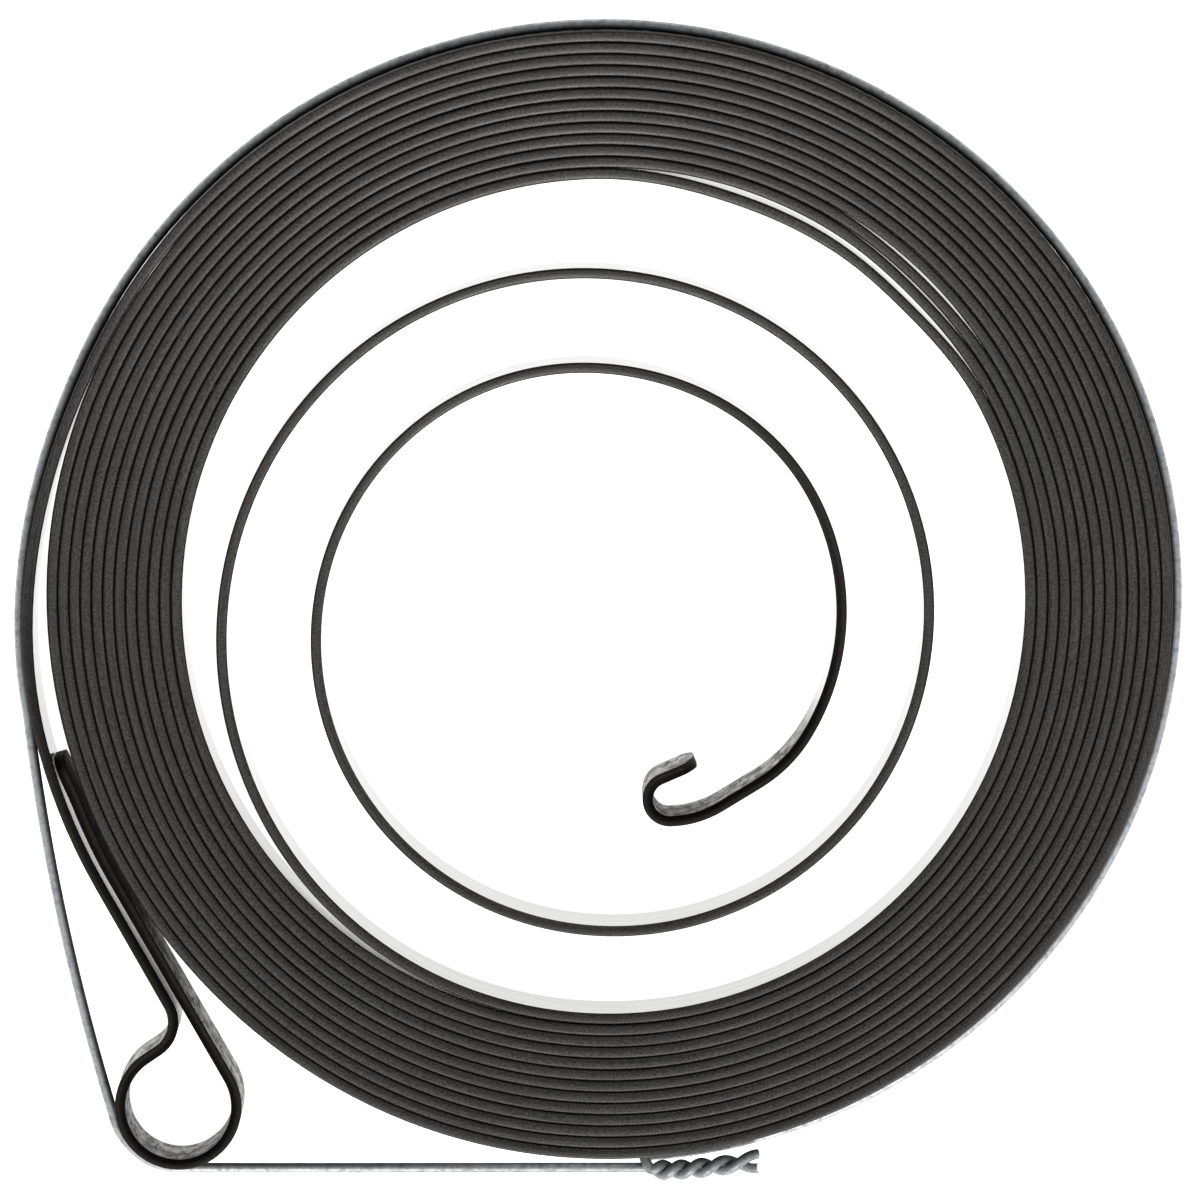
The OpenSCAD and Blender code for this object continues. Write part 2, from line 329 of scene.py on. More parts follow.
    def hook_path(self):
        """The hook from the loose turns inward: elbow, straight arm, foot, bend and tip."""
        strip = self.strip
        heading = self.loose_heading(-HOOK_FROM) - 180
        elbow = self.loose_point(-HOOK_FROM) + polar(strip.elbow, heading - 90)
        arm_heading = heading - ELBOW_TURN
        arm_end = elbow + polar(strip.elbow, arm_heading + 90) + polar(strip.arm, arm_heading)
        foot = arm_end + polar(strip.foot, arm_heading - 90)
        bend_heading = arm_heading - FOOT_TURN
        radius = strip.hook + strip.thickness / 2
        bend = foot + polar(strip.foot - radius, bend_heading + 90)
        tip_heading = bend_heading - HOOK_TURN
        tip_start = bend + polar(radius, tip_heading + 90)
        return [
            *arc(elbow, strip.elbow, heading + 90, arm_heading + 90, BEND_POINTS, 1),
            *arc(foot, strip.foot, arm_heading + 90, bend_heading + 90, BEND_POINTS),
            *arc(bend, radius, bend_heading + 90, tip_heading + 90, HOOK_POINTS, 1),
            *(tip_start + polar(strip.tip - strip.tip_slant * (1 - i / TIP_POINTS), tip_heading)
              for i in range(TIP_POINTS + 1)),
        ]

    def blend_path(self):
        """The bend that brings the loose turns out to the pack."""
        start = self.loose_point(BLEND_FROM)
        first = math.degrees(math.atan2(start.y, start.x)) + 360
        last = 360 - PACK_LEAVE
        span = math.radians(last - first)
        slope = math.tan(math.radians(first + 90 - self.loose_heading(BLEND_FROM)))
        radius = start.length
        end = self.turn_radius(self.inner)
        handles = radius + radius * slope * span / 3, end - self.pitch / (2 * math.pi) * span / 3
        grid = last - PACK_STEP * int((last - first - LEAST_STEP) / PACK_STEP)
        return [
            polar(cubic(radius, *handles, end, (a - first) / (last - first)), a)
            for a in angles(grid, last - PACK_STEP, PACK_STEP)
        ]

    def eye_path(self):
        """The neck, the eye and the tail."""
        slant = math.degrees(self.strip.tip_slant / self.tail_radius)
        tail_step = (self.tail_from - self.tail_to - slant) / BEND_POINTS
        tail = angles(self.tail_to + slant, self.tail_from, tail_step)
        tip = angles(self.tail_to, self.tail_to + slant, slant / TIP_POINTS)
        neck_span = self.neck_heading + 90, self.eye_heading + 90
        eye_span = self.eye_heading - 90, self.tail_from + 180
        return [
            polar(self.run_radius, RUN_LEAVE),
            *arc(self.neck_center, self.neck_radius, *neck_span, BEND_POINTS),
            *arc(self.eye_center, self.eye_radius, *eye_span, EYE_POINTS),
            *(polar(self.tail_radius + self.flick(a), a) for a in reversed([*tip[:-1], *tail])),
        ]

    def flick(self, a):
        """Outward bend of the tail's end, towards the run."""
        back = self.tail_radius * math.radians(a - self.tail_to)
        return self.strip.flick * (1 - ease(back / self.strip.flick_length))

    def filled(self, a):
        """How far film closes the gaps beside a turn: less at slack and pressed turns, none off the pack."""
        turn, angle = divmod(a + 360 * self.strip.pack_turns, 360)
        start, end, soft = self.OPEN_SPAN
        slack = 0
        if 0 <= turn < len(self.OPEN_GAPS):
            slack = ease((angle - start) / soft) * ease((end - angle) / soft)
        first, count = self.SQUEEZE_TURNS
        closed = self.strip.squeeze / count / self.strip.turn_gap * swell(angle, *self.SQUEEZE_SPAN)
        closed *= min(max(a / 360 + self.strip.pack_turns - first + 1, 0), 1)
        inner = ease((a - self.inner) / self.FILM_IN)
        outer = ease((self.lift_to - LIFT_SPAN - a) / self.FILM_OUT)
        return inner * (1 - slack) * (1 - closed) * outer

    def path(self):
        """The whole centre line at mid width, from the hook's tip to the tail's cut end, and its film."""
        flat = [*reversed(self.hook_path())]
        flat += [self.loose_point(a) for a in angles(-HOOK_FROM, BLEND_FROM, PACK_STEP)]
        flat += self.blend_path()
        turns = angles(self.inner, RUN_LEAVE - LEAST_STEP, PACK_STEP)
        ends = self.eye_path()
        mid = self.strip.width / 2
        rises = [self.stand(self.inner)] * len(flat) + [self.stand(a) for a in turns]
        rises += [self.stand(turns[-1])] * len(ends)
        films = [0.0] * len(flat) + [self.strip.film * self.filled(a) for a in turns] + [0.0] * len(ends)
        flat += [polar(self.turn_radius(a), a) for a in turns] + ends
        return [Vector((p.x, p.y, mid + rise)) for p, rise in zip(flat, rises)], films


class Tie:
    """The tie wire's centre line, round the pack and the eye from one cut end to the other"""

    # Reach of the root's turn behind the twist, in radii of the twist
    ROOT_BACK = 0.9
    # Power that brings the twist's bow nearer to its root, none at 1
    BOW_SKEW = 0.6

    def __init__(self, winding, wire):
        strip = winding.strip
        self.winding, self.wire = winding, wire
        radius = wire.diameter / 2
        self.off = strip.thickness / 2 + wire.gap + radius
        self.height = wire.low * strip.width
        self.twist_radius = (wire.diameter + wire.twist_gap) / 2
        self.pitch = 2 * math.pi * self.twist_radius + wire.slack
        self.wrap_radius = strip.eye_diameter / 2 + strip.thickness + wire.gap + radius
        high = winding.run_radius + self.off - self.wrap_radius
        self.leave = winding.eye_bearing - winding.bearing_off(high)
        low = winding.pack_radius(-90) + self.off - self.wrap_radius
        self.root = winding.eye_bearing + winding.bearing_off(low) + ROOT_LEAD
        self.root_radius = winding.turn_radius(self.root - 360) + self.off
        self.axis_radius = self.root_radius + self.twist_radius + wire.stand_off
        self.axis_height = self.height + 3 * self.twist_radius
        self.onward = self.raised(polar(1, self.root + 90 - wire.lean), 0)
        self.inward = self.raised(polar(1, self.root + 180 - wire.lean), 0)

    def raised(self, flat, height):
        """A flat point, lifted to a height."""
        return Vector((flat.x, flat.y, height))

    def height_at(self, a):
        """Height of the wire on the pack, more on the far side from the twist."""
        climb = (self.wire.high - self.wire.low) * swell(a, self.root - 360, self.leave)
        return self.height + climb * self.winding.strip.width

    def twist_path(self, phase):
        """One of the twisted ends, from the root outward: straight at first, then tight, then looser."""
        wire = self.wire
        ramp = self.pitch / 4
        total = wire.turns * self.pitch * wire.loosen
        start = self.raised(polar(self.axis_radius, self.root), self.axis_height)
        count = int(wire.turns * TWIST_POINTS)
        points = []
        for i in range(count + 1):
            s = total * i / count
            turning = s * s / (2 * ramp) if s < ramp else s - ramp / 2
            wound = wire.turns * (1 - (1 - turning / total) ** wire.loosen)
            a = math.radians(phase - 360 * wound)
            r = self.twist_radius + wire.splay * ease((s - total + self.pitch) / self.pitch)
            bow = wire.twist_bow * math.sin(math.pi * (i / count) ** self.BOW_SKEW)
            across = (r * math.cos(a) - bow) * self.inward
            points.append(start + self.onward * s + across + Vector((0, 0, r * math.sin(a))))
        return points

    def root_path(self):
        """The turn that brings the first end back over the other and down beside the pack."""
        points = []
        for i in range(1, BEND_POINTS):
            u = i / BEND_POINTS
            inward = math.sin(math.pi * min(u, 0.5))
            radius = self.axis_radius + (self.root_radius - self.axis_radius) * inward
            height = self.height + 2 * self.twist_radius * (1 + math.cos(math.pi * u))
            back = self.onward * self.ROOT_BACK * self.twist_radius * math.sin(math.pi * u)
            points.append(self.raised(polar(radius, self.root), height) - back)
        return points

    def bow_path(self):
        """The bowed stretch from the pack to the eye."""
        start = polar(self.winding.run_radius + self.off, self.leave)
        end = self.winding.eye_center + polar(self.wrap_radius, self.leave)
        points = []
        for i in range(BOW_POINTS):
            u = i / BOW_POINTS
            bow = polar(4 * self.wire.bow * u * (1 - u), self.leave)
            points.append(self.raised(start.lerp(end, u) + bow, self.height))
        return points

    def path(self):
        """The whole centre line."""
        winding = self.winding
        to_root = polar(self.axis_radius, self.root) - winding.eye_center
        wrap_to = math.degrees(math.atan2(to_root.y, to_root.x)) + 360
        wrap_to -= math.degrees(math.acos(self.wrap_radius / to_root.length))
        first = math.ceil((self.root - 360) / PACK_STEP) * PACK_STEP
        round_pack = [self.raised(polar(winding.turn_radius(a) + self.off, a), self.height_at(a))
                      for a in angles(first, self.leave - LEAST_STEP, PACK_STEP)]
        wrap = arc(winding.eye_center, self.wrap_radius, self.leave, wrap_to, BEND_POINTS)
        return [
            *reversed(self.twist_path(90)),
            *self.root_path(),
            self.raised(polar(self.root_radius, self.root), self.height),
            *round_pack,
            *self.bow_path(),
            *(self.raised(p, self.height) for p in wrap),
            *self.twist_path(270),
        ]


def add_node(tree, kind, inputs=None, **settings):
    """Adds a node, with its settings and with sockets or values on its inputs."""
    node = tree.nodes.new(kind)
    for name, value in settings.items():
        setattr(node, name, value)
    for key, value in (inputs or {}).items():
        if isinstance(value, bpy.types.NodeSocket):
            tree.links.new(value, node.inputs[key])
        else:
            node.inputs[key].default_value = value
    return node


def math_node(tree, operation, *values):
    """The result of one sum."""
    return add_node(tree, "ShaderNodeMath", dict(enumerate(values)), operation=operation).outputs[0]


def times(tree, *values):
    """The product of two values."""
    return math_node(tree, "MULTIPLY", *values)


def new_sweep_tree(name, sizes):
    """A Geometry Nodes tree with a path, a metal and named sizes as its inputs."""
    tree = bpy.data.node_groups.new(name, "GeometryNodeTree")
    tree.interface.new_socket("Path", in_out="INPUT", socket_type="NodeSocketGeometry")
    for size, kind in sizes:
        tree.interface.new_socket(size, in_out="INPUT", socket_type=kind)
    tree.interface.new_socket("Metal", in_out="INPUT", socket_type="NodeSocketMaterial")
    tree.interface.new_socket("Geometry", in_out="OUTPUT", socket_type="NodeSocketGeometry")
    return tree, tree.nodes.new("NodeGroupInput").outputs


def store(tree, geometry, name, value):
    """Geometry with a value stored on its points."""
    given = {"Geometry": geometry, "Name": name, "Value": value}
    kept = add_node(tree, "GeometryNodeStoreNamedAttribute", given, data_type="FLOAT", domain="POINT")
    return kept.outputs[0]


def finish_sweep(tree, given, profile, offset=(0, 0, 0)):
    """Sweeps the profile along the path, closes the ends, keeps their rims sharp and gives the metal."""
    curve = add_node(tree, "GeometryNodeMeshToCurve", {0: given["Path"]})
    upright = add_node(tree, "GeometryNodeSetCurveNormal", {0: curve.outputs[0]}, mode="Z_UP").outputs[0]
    swept = add_node(
        tree, "GeometryNodeCurveToMesh", {"Curve": upright, "Profile Curve": profile, "Fill Caps": True}
    )
    moved = add_node(tree, "GeometryNodeSetPosition", {"Geometry": swept.outputs[0], "Offset": offset})
    bend = add_node(tree, "GeometryNodeInputMeshEdgeAngle").outputs["Unsigned Angle"]
    rim = math_node(tree, "GREATER_THAN", bend, RIM_ANGLE)
    smooth = add_node(
        tree, "GeometryNodeSetShadeSmooth", {"Geometry": moved.outputs[0], "Shade Smooth": True}
    )
    sharp = add_node(
        tree, "GeometryNodeSetShadeSmooth",
        {"Geometry": smooth.outputs[0], "Selection": rim, "Shade Smooth": False}, domain="EDGE",
    )
    real = add_node(tree, "GeometryNodeRealizeInstances", {"Geometry": sharp.outputs[0]})
    metal = add_node(
        tree, "GeometryNodeSetMaterial", {"Geometry": real.outputs[0], "Material": given["Metal"]}
    )
    add_node(tree, "NodeGroupOutput", {"Geometry": metal.outputs[0]})


def from_path(tree, name, kind="FLOAT"):
    """A value stored on the path or on the profile."""
    node = add_node(tree, "GeometryNodeInputNamedAttribute", {"Name": name}, data_type=kind)
    return next(s for s in node.outputs if s.enabled and s.name == "Attribute")


def strip_tree():
    """Sweeps a flat strip with rounded edges along a path."""
    tree, given = new_sweep_tree("wound_strip", [
        ("Width", "NodeSocketFloat"), ("Thickness", "NodeSocketFloat"), ("Crown", "NodeSocketFloat"),
        ("Corner", "NodeSocketFloat"), ("Rollover", "NodeSocketFloat"), ("Corner steps", "NodeSocketInt"),
        ("Support", "NodeSocketFloat"),
    ])
    steps = given["Corner steps"]
    per_corner = math_node(tree, "ADD", steps, 3)
    index = add_node(tree, "GeometryNodeInputIndex").outputs[0]
    corner = math_node(tree, "FLOOR", math_node(tree, "DIVIDE", index, per_corner))
    place = math_node(tree, "SUBTRACT", math_node(tree, "FLOORED_MODULO", index, per_corner), 1)
    on_arc = math_node(tree, "MINIMUM", math_node(tree, "MAXIMUM", place, 0), steps)
    beyond = times(tree, math_node(tree, "SUBTRACT", place, on_arc), given["Support"])
    share = math_node(tree, "ADD", corner, math_node(tree, "DIVIDE", on_arc, steps))
    a = times(tree, share, math.pi / 2)
    middle = times(tree, math_node(tree, "ADD", corner, 0.5), math.pi / 2)
    outer = math_node(tree, "GREATER_THAN", math_node(tree, "COSINE", middle), 0)
    wider = math_node(tree, "SUBTRACT", given["Corner"], given["Rollover"])
    rounding = math_node(tree, "MULTIPLY_ADD", outer, wider, given["Rollover"])
    sides = []
    for size, reach, wave, other, sense in (
        (given["Thickness"], rounding, "COSINE", "SINE", -1),
        (given["Width"], given["Crown"], "SINE", "COSINE", 1),
    ):
        inset = math_node(tree, "SUBTRACT", math_node(tree, "DIVIDE", size, 2), reach)
        center = times(tree, math_node(tree, "SIGN", math_node(tree, wave, middle)), inset)
        round_part = math_node(tree, "MULTIPLY_ADD", math_node(tree, wave, a), reach, center)
        slide = times(tree, math_node(tree, other, a), sense)
        sides.append(math_node(tree, "MULTIPLY_ADD", slide, beyond, round_part))
    spot = add_node(tree, "ShaderNodeCombineXYZ", {0: sides[0], 1: sides[1]}).outputs[0]
    count = times(tree, per_corner, 4)
    points = add_node(tree, "GeometryNodePoints", {"Count": count, "Position": spot})
    outline = add_node(tree, "GeometryNodePointsToCurves", {"Points": points.outputs[0], "Weight": index})
    closed = add_node(tree, "GeometryNodeSetSplineCyclic", {0: outline.outputs[0], "Cyclic": True})
    named = closed.outputs[0]
    for name, side, size in (("across", sides[0], given["Thickness"]), ("up", sides[1], given["Width"])):
        share = math_node(tree, "DIVIDE", side, math_node(tree, "DIVIDE", size, 2))
        named = store(tree, named, name, share)
    reach = math_node(tree, "DIVIDE", given["Width"], 2)
    rise = times(tree, from_path(tree, "up"), reach)
    shift = times(tree, rise, from_path(tree, "slant"))
    drop = add_node(tree, "ShaderNodeCombineXYZ", {2: shift}).outputs[0]
    film = from_path(tree, "film", "FLOAT_VECTOR")
    across = from_path(tree, "across")
    offset = add_node(tree, "ShaderNodeVectorMath", {0: film, 1: across, 2: drop}, operation="MULTIPLY_ADD")
    finish_sweep(tree, given, named, offset.outputs[0])
    return tree


def wire_tree():
    """Sweeps a round wire along a path."""
    tree, given = new_sweep_tree("tie_wire", [("Radius", "NodeSocketFloat"), ("Sides", "NodeSocketInt")])
    radius = given["Radius"]
    ring = add_node(
        tree, "GeometryNodeCurvePrimitiveCircle", {"Resolution": given["Sides"], "Radius": radius}
    )
    position = add_node(tree, "GeometryNodeInputPosition").outputs[0]
    outward = add_node(tree, "ShaderNodeSeparateXYZ", {0: position}).outputs[0]
    across = math_node(tree, "DIVIDE", outward, radius)
    finish_sweep(tree, given, store(tree, ring.outputs[0], "across", across))
    return tree


def path_object(name, points, **extra):
    """A line of edges through the points, with its length and other values stored on them."""
    mesh = bpy.data.meshes.new(name)
    mesh.from_pydata(points, [(i, i + 1) for i in range(len(points) - 1)], [])
    run = [0.0]
    for p, q in zip(points, points[1:]):
        run.append(run[-1] + (q - p).length)
    cut = [1.0] + [0.0] * (len(points) - 2) + [1.0]
    for key, values in {"along": run, "cut": cut, **{k: make(run) for k, make in extra.items()}}.items():
        if isinstance(values[0], Vector):
            flat = [c for v in values for c in v]
            mesh.attributes.new(key, "FLOAT_VECTOR", "POINT").data.foreach_set("vector", flat)
        else:
            mesh.attributes.new(key, "FLOAT", "POINT").data.foreach_set("value", values)
    thing = bpy.data.objects.new(name, mesh)
    bpy.context.scene.collection.objects.link(thing)
    return thing


def sweep(name, path, tree, values):
    """Runs a tree on a path and keeps the result as a plain mesh."""
    modifier = path.modifiers.new("sweep", "NODES")
    modifier.node_group = tree
    sockets = {s.name: s.identifier for s in tree.interface.items_tree if s.in_out == "INPUT"}
    for key, value in values.items():
        modifier[sockets[key]] = value
    graph = bpy.context.evaluated_depsgraph_get()
    swept = path.evaluated_get(graph)
    mesh = bpy.data.meshes.new_from_object(swept, preserve_all_data_layers=True, depsgraph=graph)
    path_mesh = path.data
    bpy.data.objects.remove(path)
    bpy.data.meshes.remove(path_mesh)
    if not mesh.polygons:
        raise RuntimeError(f"{name}: the sweep gave no faces")
    mesh.name = name
    piece = bpy.data.objects.new(name, mesh)
    bpy.context.scene.collection.objects.link(piece)
    return piece


def new_material(name):
    """A node material with its shader, its nodes and its surface coordinates."""
    material = bpy.data.materials.new(name)
    material.use_nodes = True
    tree = material.node_tree
    shader = next(n for n in tree.nodes if n.type == "BSDF_PRINCIPLED")
    spot = add_node(tree, "ShaderNodeTexCoord").outputs["Object"]
    return material, tree, shader, spot


def stored(tree, name):
    """A value stored on the piece."""
    return add_node(tree, "ShaderNodeAttribute", attribute_name=name).outputs["Fac"]


def noise(tree, spot, scale, detail=3.0, roughness=0.55):
    """Cloudy noise, from 0 to 1."""
    given = {"Vector": spot, "Scale": scale, "Detail": detail, "Roughness": roughness}
    return add_node(tree, "ShaderNodeTexNoise", given).outputs["Fac"]


def between(tree, value, low, high, to_low=0.0, to_high=1.0):
    """A value brought from one range to another, and kept in it."""
    return add_node(
        tree, "ShaderNodeMapRange", {0: value, 1: low, 2: high, 3: to_low, 4: to_high}, clamp=True
    ).outputs[0]


def blend_colours(tree, share, first, second):
    """A mix of two colours, given as sockets or as plain colours."""
    given = {0: share}
    for key, colour in ((6, first), (7, second)):
        given[key] = colour if isinstance(colour, bpy.types.NodeSocket) else (*colour, 1)
    return add_node(tree, "ShaderNodeMix", given, data_type="RGBA").outputs[2]


def blend_values(tree, share, first, second):
    """A mix of two plain values."""
    return add_node(tree, "ShaderNodeMix", {0: share, 2: first, 3: second}, data_type="FLOAT").outputs[0]


def scaled_colour(tree, colour, share):
    """A colour made lighter or darker by a share."""
    return add_node(tree, "ShaderNodeVectorMath", {0: colour, 3: share}, operation="SCALE").outputs[0]


def strip_textures(tree, spot, along, height, across):
    """Marks of rolling, heat and wear, laid along the strip: name, and noise from 0 to 1."""
    on_strip = add_node(tree, "ShaderNodeCombineXYZ", {0: along, 1: height, 2: across}).outputs[0]

    def laid(along_scale, height_scale, detail, roughness=0.55, across_scale=1.0):
        scales = (along_scale, height_scale, across_scale)
        place = add_node(tree, "ShaderNodeVectorMath", {0: on_strip, 1: scales}, operation="MULTIPLY")
        return noise(tree, place.outputs[0], 1.0, detail, roughness)

    return {
        "streaks": laid(45, 2600, 4),
        "fine_lines": laid(300, 14000, 2),
        "mottle": laid(1300, 600, 5, 0.7),
        "specks": laid(2200, 420, 4, 0.65),
        "scores": laid(500, 1500, 2, 0.6),
        "wear": laid(160, 0, 4, 0.6, 2.2),
        "cast": laid(60, 300, 2),
        "grain": noise(tree, spot, 9000, 3, 0.7),
    }


def wide_face(tree, finish, marks, textures, burnt):
    """Colour of the wide faces: rolling streaks, mottled grey with black flecks where they are burnt, and a
    painted shadow on the tail's face towards the pack.
    """
    streaked = blend_colours(
        tree, between(tree, textures["streaks"], 0.38, 0.66), finish.face, finish.face_dark
    )
    mottled = blend_colours(
        tree, between(tree, textures["mottle"], 0.42, 0.57), finish.burnt, finish.burnt_dark
    )
    face = blend_colours(tree, burnt, streaked, mottled)
    specks = between(tree, textures["specks"], 0.555, 0.60)
    scores = between(tree, textures["scores"], 0.60, 0.65)
    flecks = math_node(tree, "MAXIMUM", specks, scores)
    face = blend_colours(
        tree, times(tree, flecks, between(tree, burnt, 0, 1, 0.10, 0.95)), face, finish.scale
    )
    # Painted shadow: near its cut end, the tail's face towards the pack turns black for the shade between
    # the tail and the pack.
    on_tail = between(tree, marks["clean"], 0.55, 0.95, 0, 0.96)
    painted_tail_shadow = times(tree, on_tail, between(tree, marks["across"], 0.5, 0.9))
    return blend_colours(tree, painted_tail_shadow, face, finish.scale)


def blued_edge(tree, finish, marks, textures):
    """Colour of the strip's edges: blued, with rims lighter partly from wear and partly as a painted
    highlight, black where they were heated with painted shade on their inner side, painted shade on the
    outer half where they were not heated, and painted shade by the gaps.
    """
    across, scorch = marks["across"], marks["scorch"]
    side = math_node(tree, "ABSOLUTE", across)
    # Rims lighter than the edge's middle: partly wear, partly a painted highlight.
    rim = between(tree, side, 0.30, 0.70)
    worn_and_lit_rim = times(tree, rim, between(tree, textures["wear"], 0.30, 0.62, 0.35, 1.0))
    blued = blend_colours(tree, between(tree, textures["cast"], 0.45, 0.7), finish.edge, finish.edge_warm)
    blued = blend_colours(tree, worn_and_lit_rim, blued, finish.rim)
    # Painted shade: the heated edges are black on their inner side and lighter on their outer side.
    black = blend_colours(tree, between(tree, across, -0.25, 0.45), finish.scale, finish.scale_lit_side)
    blued = blend_colours(tree, scorch, blued, black)
    grain = between(tree, textures["grain"], 0.35, 0.65, 0.5, 1.6)
    rubbed = times(tree, grain, between(tree, textures["wear"], 0.3, 0.7, 0.8, 1.25))
    blued = scaled_colour(tree, blued, rubbed)
    shaded = times(tree, between(tree, across, 0.4, 0.7, 0, 0.45), between(tree, scorch, 0, 1, 1, 0))
    blued = blend_colours(tree, shaded, blued, finish.scale)
    # Painted shade: the edges darken to near black towards the gaps between turns.
    return blend_colours(tree, between(tree, side, 0.80, 0.94, 0, 0.9), blued, finish.scale)


def edge_share(tree, marks, height, width, crown):
    """Where the strip has its edge's finish: its edges, its cut ends, and as painted shade the face under
    the wire.
    """
    far = math_node(tree, "ABSOLUTE", height)
    on_edge = between(tree, far, width / 2 - 1.2 * crown, width / 2 - 0.9 * crown)
    on_edge = math_node(tree, "MAXIMUM", on_edge, between(tree, marks["cut"], 0.97, 0.99))
    # Painted shade: the outermost face under the wire gets the dark, rough finish of the edges.
    shade_under_wire = times(tree, marks["bound"], between(tree, marks["across"], 0.5, 0.9, 0, 0.92))
    return math_node(tree, "MAXIMUM", on_edge, shade_under_wire)


def strip_steel(finish, width, crown):
    """Rolled spring steel: bright streaked faces, blued edges, and black scale at the bent ends."""
    material, tree, shader, spot = new_material("strip_steel")
    names = ("along", "across", "up", "scorch", "burn", "clean", "bound", "cut")
    marks = {name: stored(tree, name) for name in names}
    height = times(tree, marks["up"], width / 2)
    textures = strip_textures(tree, spot, marks["along"], height, marks["across"])
    tail_side = times(tree, marks["clean"], between(tree, marks["across"], -0.5, 0.5, 1, 0))
    burnt = times(tree, marks["burn"], math_node(tree, "SUBTRACT", 1.0, tail_side))
    on_edge = edge_share(tree, marks, height, width, crown)
    off_edge = math_node(tree, "SUBTRACT", 1.0, on_edge)

    face = wide_face(tree, finish, marks, textures, burnt)
    edge = blued_edge(tree, finish, marks, textures)
    tree.links.new(blend_colours(tree, on_edge, face, edge), shader.inputs["Base Color"])

    bright_rough = between(tree, textures["fine_lines"], 0.3, 0.7, 0.06, 0.16)
    burnt_rough = between(tree, textures["mottle"], 0.3, 0.7, 0.55, 0.75)
    face_rough = blend_values(tree, burnt, bright_rough, burnt_rough)
    edge_rough = between(tree, textures["grain"], 0.3, 0.7, 0.50, 0.66)
    edge_rough = math_node(tree, "MULTIPLY_ADD", marks["scorch"], 0.2, edge_rough)
    tree.links.new(blend_values(tree, on_edge, face_rough, edge_rough), shader.inputs["Roughness"])

    relief = math_node(tree, "ADD", textures["fine_lines"], times(tree, textures["grain"], on_edge))
    relief = math_node(tree, "ADD", relief, times(tree, textures["mottle"], burnt))
    bump = add_node(tree, "ShaderNodeBump", {"Strength": 0.25, "Distance": 0.008 * MM, "Height": relief})
    tree.links.new(bump.outputs[0], shader.inputs["Normal"])
    dull = times(tree, times(tree, burnt, off_edge), 0.9)
    tree.links.new(math_node(tree, "SUBTRACT", 1.0, dull), shader.inputs["Metallic"])
    return material


def zinc_coat(finish):
    """Galvanised wire: grey zinc with dull patches and pits, and painted shade on its side towards the
    spring where it lies round it.
    """
    material, tree, shader, spot = new_material("zinc_coat")
    patches = noise(tree, spot, 2600, 4, 0.65)
    pits = noise(tree, spot, 7000, 3, 0.6)
    dull = between(tree, patches, 0.46, 0.72, 0, 0.75)
    pitted = between(tree, pits, 0.60, 0.70, 0, 0.9)
    coat = blend_colours(tree, math_node(tree, "MAXIMUM", dull, pitted), finish.zinc, finish.zinc_dark)
    laid = stored(tree, "laid")
    # Painted shade on the wire's side towards the spring, only where the wire lies round it.
    inner = between(tree, stored(tree, "across"), 0.2, -0.7, 0, 0.93)
    coat = blend_colours(tree, times(tree, laid, inner), coat, finish.painted_shade)
    coat = scaled_colour(tree, coat, between(tree, laid, 0, 1, 0.68, 1))
    fresh = between(tree, stored(tree, "cut"), 0.9, 0.97)
    tree.links.new(blend_colours(tree, fresh, coat, finish.bare), shader.inputs["Base Color"])
    tree.links.new(between(tree, patches, 0.3, 0.7, 0.42, 0.62), shader.inputs["Roughness"])
    bump = add_node(tree, "ShaderNodeBump", {"Strength": 0.5, "Distance": 0.01 * MM, "Height": pits})
    tree.links.new(bump.outputs[0], shader.inputs["Normal"])
    shader.inputs["Metallic"].default_value = 0.6
    return material


